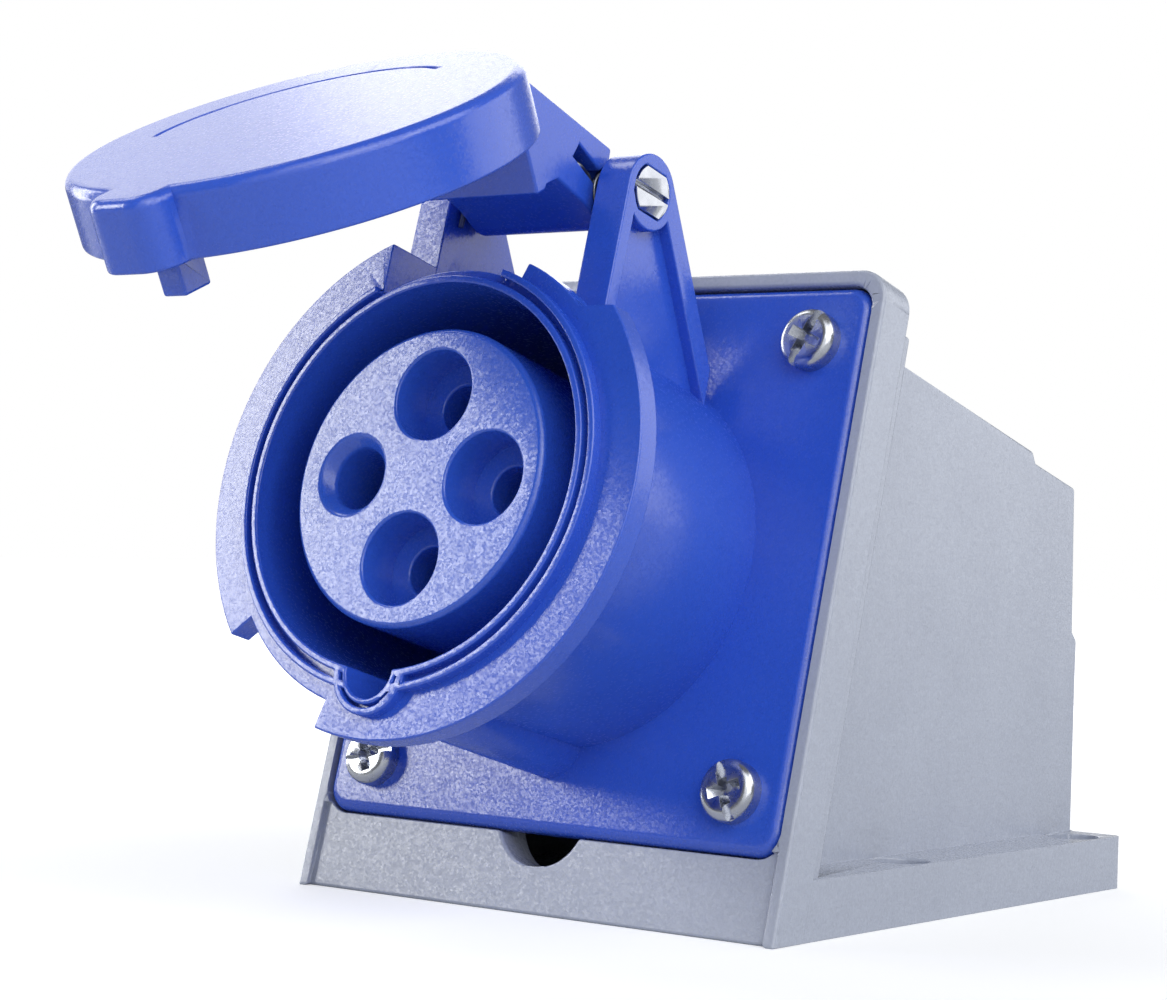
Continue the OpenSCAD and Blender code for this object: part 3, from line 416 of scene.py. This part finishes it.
# A rounding with no room for its radius is made smaller, and in the end left sharp
def roundedCopy(node, piece, radius):
    bm = closedMesh(node)
    solid = BVHTree.FromBMesh(bm)
    weight = bm.edges.layers.float.new("bevel_weight_edge")
    sharpEdges = {e for e in bm.edges if e.calc_face_angle(0) > math.radians(moulding["sharpDeg"])}
    outerEdges = {e for e in sharpEdges if e.is_convex}
    for edge in outerEdges:
        edge[weight] = min(1.0, moulding["room"] * edgeRoom(edge, sharpEdges) / radius)
    perGap, perRadius = moulding["strayReach"]
    sharpFrom = moulding["attempts"] - moulding["sharpAttempts"]
    for attempt in range(moulding["attempts"]):
        for edge in sharpEdges:
            edge.smooth = edge[weight] > 0
        made = bevelled(bm, piece, radius)
        gaps = [(v.co.copy(), solid.find_nearest(v.co)[3]) for v in made.data.vertices]
        strays = [
            (p, gap * perGap + perRadius * radius)
            for p, gap in gaps if gap > moulding["stray"] * radius]
        strays += [(p, radius) for p in foldedPlaces(made, solid)]
        if not strays:
            break
        share = moulding["smaller"] if attempt < sharpFrom else 0.0
        for edge in outerEdges:
            if any(edgeGap(p, edge) < reach for p, reach in strays):
                edge[weight] *= share
        if attempt < moulding["attempts"] - 1:
            bpy.data.objects.remove(made)
    bm.free()
    print("rounded:", piece, "in", attempt + 1, "attempts,", len(strays), "strays")
    return shaded(made)


def shaded(made):
    for polygon in made.data.polygons:
        polygon.use_smooth = True
    shading = made.modifiers.new("flatFacesStayFlat", "WEIGHTED_NORMAL")
    shading.weight = moulding["normalWeight"]
    shading.keep_sharp = True
    return plainMesh(made)


def plainMesh(made):
    graph = bpy.context.evaluated_depsgraph_get()
    graph.update()
    mesh = bpy.data.meshes.new_from_object(made.evaluated_get(graph), depsgraph=graph)
    mesh.name = made.name
    made.modifiers.clear()
    made.data = mesh
    return made


def settle(made, slot, body, *nodes):
    made.data.materials.clear()
    made.data.materials.append(materials[slot])
    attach(made, body)
    if nodes:
        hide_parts(*nodes)


roundedPieces = {
    "back_box": {"piece": "mouldedBox", "slot": "box_plastic", "body": "socket", "radius": 0.6},
    "socket_body": {"piece": "mouldedSocket", "slot": "blue_plastic", "body": "socket", "radius": 0.3},
    "contact_carrier": {
        "piece": "mouldedInsert", "slot": "insert_plastic", "body": "socket", "radius": 0.46},
    "lid": {"piece": "mouldedLid", "slot": "blue_plastic", "body": "cover", "radius": 0.45},
    "entry_grommet": {"piece": "cableGrommet", "slot": "rubber", "body": "socket", "radius": 0.5},
    "hinge_pin": {"piece": "hingePin", "slot": "zinc", "body": "socket", "radius": 0.08},
}
for node, work in roundedPieces.items():
    made = roundedCopy(node, work["piece"], work["radius"] * mm)
    settle(made, work["slot"], work["body"], node)


# Geometry Nodes helpers

def newTree(name, sizes):
    tree = bpy.data.node_groups.new(name, "GeometryNodeTree")
    tree.interface.new_socket("Geometry", in_out="INPUT", socket_type="NodeSocketGeometry")
    for size, kind in sizes.items():
        tree.interface.new_socket(size, in_out="INPUT", socket_type=kind)
    tree.interface.new_socket("Geometry", in_out="OUTPUT", socket_type="NodeSocketGeometry")
    return tree, addNode(tree, "NodeGroupInput").outputs


def finishTree(tree, geometry, slot):
    realized = addNode(tree, "GeometryNodeRealizeInstances", {"Geometry": geometry})
    coloured = addNode(tree, "GeometryNodeSetMaterial", {
        "Geometry": realized.outputs[0], "Material": materials[slot]})
    addNode(tree, "NodeGroupOutput", {"Geometry": coloured.outputs[0]})


def grown(name, mesh, tree, values):
    made = bpy.data.objects.new(name, mesh)
    sceneObjects.link(made)
    nodes = made.modifiers.new(name, "NODES")
    nodes.node_group = tree
    for item in tree.interface.items_tree:
        if item.in_out == "INPUT" and item.name in values:
            nodes[item.identifier] = values[item.name]
    return plainMesh(made)


# panel screws: pan heads with a slot across a cross recess, each turned as it was left

screw = {
    "head": 9.4,
    "height": 3.1,
    "crown": 1.5,
    "shank": 5,
    "length": 11,
    "slot": (1.2, 1.1),  # width and depth
    "cross": (6.3, 1.8),  # length and width at the top
    "crossFoot": (2.6, 1.0),
    "crossDepth": 2.1,
    "over": 0.5,  # how far the cutters stand past the head
    "edge": 0.18,
    "edgeSegments": 2,
    "edgeDeg": 32,
    "spacing": 69.6,
    "turnsDeg": (20, -35, 111, 66),
    "around": 64,
    "crownStepDeg": 15,
    "seam": 1e-6,  # m, closes the lathe's seam and poles
}


def meshFrom(name, bm):
    mesh = bpy.data.meshes.new(name)
    bm.to_mesh(mesh)
    bm.free()
    return mesh


def latheMesh(name, profile, around):
    bm = bmesh.new()
    line = [bm.verts.new((r * mm, 0, z * mm)) for r, z in profile]
    for a, b in zip(line, line[1:]):
        bm.edges.new((a, b))
    bmesh.ops.spin(
        bm, geom=bm.verts[:] + bm.edges[:], axis=(0, 0, 1), cent=(0, 0, 0),
        angle=2 * math.pi, steps=around, use_merge=True)
    bmesh.ops.remove_doubles(bm, verts=bm.verts, dist=screw["seam"])
    bmesh.ops.recalc_face_normals(bm, faces=bm.faces)
    return meshFrom(name, bm)


def taperMesh(name, top, foot, z0, z1):
    bm = bmesh.new()
    rings = []
    corners = ((-1, -1), (1, -1), (1, 1), (-1, 1))
    for (length, width), z in ((foot, z0), (top, z1)):
        rings.append([
            bm.verts.new((x * length / 2 * mm, y * width / 2 * mm, z * mm)) for x, y in corners])
    bm.faces.new(rings[0])
    bm.faces.new(rings[1])
    for i in range(4):
        bm.faces.new((rings[0][i], rings[0][i - 1], rings[1][i - 1], rings[1][i]))
    bmesh.ops.recalc_face_normals(bm, faces=bm.faces)
    return meshFrom(name, bm)


def screwPattern():
    r, h, crown = screw["head"] / 2, screw["height"], screw["crown"]
    shank, tip = screw["shank"] / 2, -screw["length"]
    crownAngles = [math.radians(d) for d in range(0, 91, screw["crownStepDeg"])]
    rim = [(r - crown + crown * math.cos(a), h - crown + crown * math.sin(a)) for a in crownAngles]
    profile = [(0, tip), (shank, tip), (shank, 0), (r, 0)] + rim + [(0, h)]
    mesh = latheMesh("screwPattern", profile, screw["around"])
    made = bpy.data.objects.new("screwPattern", mesh)
    sceneObjects.link(made)
    over = screw["over"]
    slotWidth, slotDepth = screw["slot"]
    slotBar = (screw["head"] + over, slotWidth)
    top, foot, floor = screw["cross"], screw["crossFoot"], h - screw["crossDepth"]
    cutters = [
        taperMesh("slotBar", slotBar, slotBar, h - slotDepth, h + over),
        taperMesh("crossBar", top, foot, floor, h + over),
        taperMesh("crossBar", top[::-1], foot[::-1], floor, h + over)]
    for mesh in cutters:
        cutter = bpy.data.objects.new(mesh.name, mesh)
        sceneObjects.link(cutter)
        cut = made.modifiers.new(mesh.name, "BOOLEAN")
        cut.object = cutter
        cut.solver = "EXACT"
    edge = made.modifiers.new("edge", "BEVEL")
    edge.width = screw["edge"] * mm
    edge.segments = screw["edgeSegments"]
    edge.limit_method = "ANGLE"
    edge.angle_limit = math.radians(screw["edgeDeg"])
    plainMesh(made)
    for cutter in [o for o in sceneObjects if o.name.startswith(("slotBar", "crossBar"))]:
        bpy.data.objects.remove(cutter)
    return made


def makeScrews():
    pattern = screwPattern()
    tree, given = newTree("panelScrews", {"Screw": "NodeSocketObject", "Spacing": "NodeSocketFloat"})
    corners = addNode(tree, "GeometryNodeMeshGrid", {
        "Size X": given["Spacing"], "Size Y": given["Spacing"], "Vertices X": 2, "Vertices Y": 2})
    turn = addNode(tree, "GeometryNodeIndexSwitch", data_type="FLOAT")
    while len(turn.index_switch_items) < len(screw["turnsDeg"]):
        turn.index_switch_items.new()
    tree.links.new(addNode(tree, "GeometryNodeInputIndex").outputs[0], turn.inputs["Index"])
    for i, angle in enumerate(screw["turnsDeg"]):
        turn.inputs[1 + i].default_value = math.radians(angle)
    upright = addNode(tree, "ShaderNodeCombineXYZ", {"Z": turn.outputs[0]})
    source = addNode(tree, "GeometryNodeObjectInfo", {"Object": given["Screw"]})
    placed = addNode(tree, "GeometryNodeInstanceOnPoints", {
        "Points": corners.outputs["Mesh"],
        "Instance": source.outputs["Geometry"],
        "Rotation": upright.outputs[0]})
    onPanel = addNode(tree, "GeometryNodeTransform", {
        "Geometry": placed.outputs[0],
        "Translation": socketMiddle,
        "Rotation": (math.pi / 2 - lean, 0, 0)})
    finishTree(tree, onPanel.outputs[0], "zinc")
    made = grown("panelScrews", bpy.data.meshes.new("panelScrews"), tree, {
        "Screw": pattern, "Spacing": screw["spacing"] * mm})
    bpy.data.objects.remove(pattern)
    settle(shaded(made), "zinc", "socket", "panel_screws")
    print("screws grown:", len(made.data.polygons), "faces")


makeScrews()


# lid springs: round wire along a path, a leg in the lid's slot, the turns, a leg on the body

spring = {
    "wire": 0.9,
    "coilRadius": 3.55,
    "coilEnd": 12.8,  # from the middle, mm, in the well at the knuckle's end
    "turns": 2,
    "pitch": 1.05,
    "slotDeg": 122,
    "legReach": 7.6,
    "legIn": 1.5,
    "bend": 0.9,
    "bendMiddle": 0.3,  # share of the bend at which its middle point lies
    "bodyLeg": 5.5,
    "steps": 150,
    "around": 14,
}


def springPath():
    slot = math.radians(spring["slotDeg"])
    turned = math.pi / 2 + lidOpen + 2 * math.pi * spring["turns"] - slot
    x0 = spring["coilEnd"] - spring["pitch"] * turned / (2 * math.pi)
    r, reach, bend = spring["coilRadius"], spring["legReach"], spring["bend"]
    corner = bend * spring["bendMiddle"]
    leg = [
        (x0 - spring["legIn"], reach), (x0 - bend, reach), (x0 - corner, reach - corner),
        (x0, reach - bend), (x0, r + bend)]
    path = [Vector((x, math.cos(slot) * d, math.sin(slot) * d)) for x, d in leg]
    for i in range(1, spring["steps"] + 1):
        a = turned * i / spring["steps"]
        along = x0 + spring["pitch"] * a / (2 * math.pi)
        path.append(Vector((along, r * math.cos(slot + a), r * math.sin(slot + a))))
    aim = Vector((0, -math.sin(slot + turned), math.cos(slot + turned)))
    path.append(path[-1] + aim * spring["bodyLeg"])
    c, s = math.cos(lidOpen), math.sin(lidOpen)
    placed = []
    for p in path:
        fromHinge = Vector((p.x, 0, 0)) + upLean * (p.y * c + p.z * s) + outLean * (p.z * c - p.y * s)
        placed.append(hingeMiddle + fromHinge * mm)
    return placed


def makeSprings():
    tree, given = newTree("lidSprings", {"Wire": "NodeSocketFloat", "Around": "NodeSocketInt"})
    line = addNode(tree, "GeometryNodeMeshToCurve", {"Mesh": given["Geometry"]})
    half = addNode(tree, "ShaderNodeMath", {0: given["Wire"], 1: 0.5}, operation="MULTIPLY")
    section = addNode(tree, "GeometryNodeCurvePrimitiveCircle", {
        "Resolution": given["Around"], "Radius": half.outputs[0]}, mode="RADIUS")
    wire = addNode(tree, "GeometryNodeCurveToMesh", {
        "Curve": line.outputs[0], "Profile Curve": section.outputs[0], "Fill Caps": True})
    mirrored = addNode(tree, "GeometryNodeTransform", {"Geometry": wire.outputs[0], "Scale": (-1, 1, 1)})
    outward = addNode(tree, "GeometryNodeFlipFaces", {"Mesh": mirrored.outputs[0]})
    both = addNode(tree, "GeometryNodeJoinGeometry", {"Geometry": wire.outputs[0]})
    tree.links.new(outward.outputs[0], both.inputs["Geometry"])
    finishTree(tree, both.outputs[0], "spring_steel")
    path = springPath()
    mesh = bpy.data.meshes.new("lidSprings")
    mesh.from_pydata(path, [(i, i + 1) for i in range(len(path) - 1)], [])
    made = grown("lidSprings", mesh, tree, {"Wire": spring["wire"] * mm, "Around": spring["around"]})
    settle(shaded(made), "spring_steel", "cover", "lid_springs")
    print("springs grown:", len(made.data.polygons), "faces")


makeSprings()


# carried-over solids that keep their own mesh

carriedNodes = {
    "nut_inserts": "brass",
    "panel_gasket": "rubber",
    "carrier_base": "insert_plastic",
    "carrier_circlip": "spring_steel",
    "phase_contact_1": "brass",
    "phase_contact_2": "brass",
    "phase_contact_3": "brass",
    "earth_contact": "brass",
    "phase_contact_rings": "spring_steel",
    "earth_contact_ring": "spring_steel",
    "terminal_screws": "zinc",
    "lid_seal": "rubber",
    "pin_clip": "spring_steel",
}
for node, slot in carriedNodes.items():
    solid = frame["nodes"][node]
    solid.data.materials.clear()
    solid.data.materials.append(materials[slot])
print("carried over:", len(carriedNodes), "solids")


# studio: pale floor, white surround, soft boxes on all sides

studio = {
    "floorSize": 6.0,
    "floorColour": "CFD1D4",
    "floorRoughness": (0.85, 0.95),
    "floorGrain": 30,
    "floorLift": 0.45,  # how white the floor looks to the camera by itself, under the shadow
    "shadowReach": (0.15, 0.6),  # the floor turns plain white over this distance
    "surround": "FFFFFF",
    "ambient": 0.08,
    "mirrored": 0.2,  # how bright the surround looks in a reflection
    "aim": (0, -0.03, 0.06),
}


def makeFloor():
    half = studio["floorSize"] / 2
    mesh = bpy.data.meshes.new("studioFloor")
    corners = [(-half, -half, 0), (half, -half, 0), (half, half, 0), (-half, half, 0)]
    mesh.from_pydata(corners, [], [(0, 1, 2, 3)])
    floor = bpy.data.objects.new("studioFloor", mesh)
    sceneObjects.link(floor)
    material, tree, place = newMaterial("paleFloorMatt")
    grain = addNode(tree, "ShaderNodeTexNoise", {
        "Vector": place, "Scale": perMm(studio["floorGrain"]), "Detail": 2.0})
    away = addNode(tree, "ShaderNodeVectorMath", {0: place}, operation="LENGTH")
    white = addNode(tree, "ShaderNodeMapRange", {
        "Value": away.outputs["Value"],
        "From Min": studio["shadowReach"][0], "From Max": studio["shadowReach"][1],
        "To Min": studio["floorLift"], "To Max": 1.0})
    path = addNode(tree, "ShaderNodeLightPath")
    lift = addNode(tree, "ShaderNodeMath", {
        0: path.outputs["Is Camera Ray"], 1: white.outputs["Result"]}, operation="MULTIPLY")
    rough = addNode(tree, "ShaderNodeMapRange", {
        "Value": grain.outputs["Fac"],
        "To Min": studio["floorRoughness"][0], "To Max": studio["floorRoughness"][1]})
    shader = addNode(tree, "ShaderNodeBsdfPrincipled", {
        "Base Color": linearColour(studio["floorColour"]), "Roughness": rough.outputs["Result"],
        "Emission Color": linearColour(studio["surround"]), "Emission Strength": lift.outputs[0]})
    finishMaterial(tree, shader)
    mesh.materials.append(material)


def makeSurround():
    world = bpy.data.worlds.new("whiteSurround")
    bpy.context.scene.world = world
    world.use_nodes = True
    tree = world.node_tree
    tree.nodes.clear()
    path = addNode(tree, "ShaderNodeLightPath")
    unseen = addNode(tree, "ShaderNodeMapRange", {
        "Value": path.outputs["Is Glossy Ray"],
        "To Min": studio["ambient"], "To Max": studio["mirrored"]})
    strength = addNode(tree, "ShaderNodeMix", {
        "Factor": path.outputs["Is Camera Ray"],
        "A": unseen.outputs["Result"],
        "B": 1.0}, data_type="FLOAT")
    light = addNode(tree, "ShaderNodeBackground", {
        "Color": linearColour(studio["surround"]), "Strength": strength.outputs["Result"]})
    addNode(tree, "ShaderNodeOutputWorld", {"Surface": light.outputs[0]})


softBoxes = {
    "keyLeft": {"toward": (-0.738, -0.587, 0.334), "distance": 2.2, "size": (0.70, 0.68), "radiance": 10.5},
    "topLeft": {"toward": (-0.604, -0.05, 0.797), "distance": 1.1, "size": (0.3, 0.3), "radiance": 4.0},
    "sideLeft": {"toward": (-0.97, -0.05, 0.25), "distance": 1.1, "size": (0.3, 0.7), "radiance": 6.0},
    "rimLeft": {"toward": (-0.675, 0.582, 0.453), "distance": 1.1, "size": (0.9, 0.7), "radiance": 1.35},
    "rimBack": {"toward": (-0.5, 0.72, 0.45), "distance": 1.1, "size": (0.6, 0.7), "radiance": 1.3},
    "sideRight": {"toward": (0.82, -0.42, 0.39), "distance": 1.3, "size": (1.0, 0.9), "radiance": 2.1},
    "rightHigh": {"toward": (0.75, 0.1, 0.65), "distance": 1.3, "size": (0.8, 0.7), "radiance": 2.7},
    "frontHigh": {"toward": (0.45, -0.55, 0.7), "distance": 1.3, "size": (0.9, 0.8), "radiance": 1.8},
    "fillFront": {"toward": (0.45, -0.85, 0.28), "distance": 1.3, "size": (0.9, 0.8), "radiance": 0.9},
    "backRight": {"toward": (0.55, 0.77, 0.3), "distance": 1.3, "size": (1.0, 0.9), "radiance": 1.5},
}


def makeSoftBox(name, box):
    lamp = bpy.data.lights.new(name, "AREA")
    lamp.shape = "RECTANGLE"
    lamp.size, lamp.size_y = box["size"]
    lamp.energy = box["radiance"] * math.pi * lamp.size * lamp.size_y
    toward = Vector(box["toward"]).normalized()
    made = bpy.data.objects.new(name, lamp)
    made.location = Vector(studio["aim"]) + toward * box["distance"]
    made.rotation_mode = "QUATERNION"
    made.rotation_quaternion = toward.to_track_quat("Z", "Y")
    made.visible_camera = False
    sceneObjects.link(made)


makeFloor()
makeSurround()
for name, box in softBoxes.items():
    makeSoftBox(name, box)
print("studio lit:", len(softBoxes), "soft boxes")


# camera where the photograph was taken from

camera = {
    "place": (0.26185, -0.38790, 0.05733),
    "lens": 85.667,
    "sensor": 36,
    "turnDeg": 37.18,
    "tiltDeg": -0.82,
    "rollDeg": 1.91,
}


def makeCamera():
    data = bpy.data.cameras.new("photoCamera")
    data.lens = camera["lens"]
    data.sensor_width = camera["sensor"]
    made = bpy.data.objects.new("photoCamera", data)
    sceneObjects.link(made)
    turn, tilt, roll = (math.radians(camera[k]) for k in ("turnDeg", "tiltDeg", "rollDeg"))
    back = Vector((math.sin(turn) * math.cos(tilt), -math.cos(turn) * math.cos(tilt), math.sin(tilt)))
    level = Vector((math.cos(turn), math.sin(turn), 0))
    upright = back.cross(level)
    right = level * math.cos(roll) + upright * math.sin(roll)
    up = upright * math.cos(roll) - level * math.sin(roll)
    turned = Matrix((right, up, back)).transposed().to_4x4()
    made.matrix_world = Matrix.Translation(camera["place"]) @ turned
    bpy.context.scene.camera = made


makeCamera()
bpy.context.scene.view_settings.view_transform = "Standard"
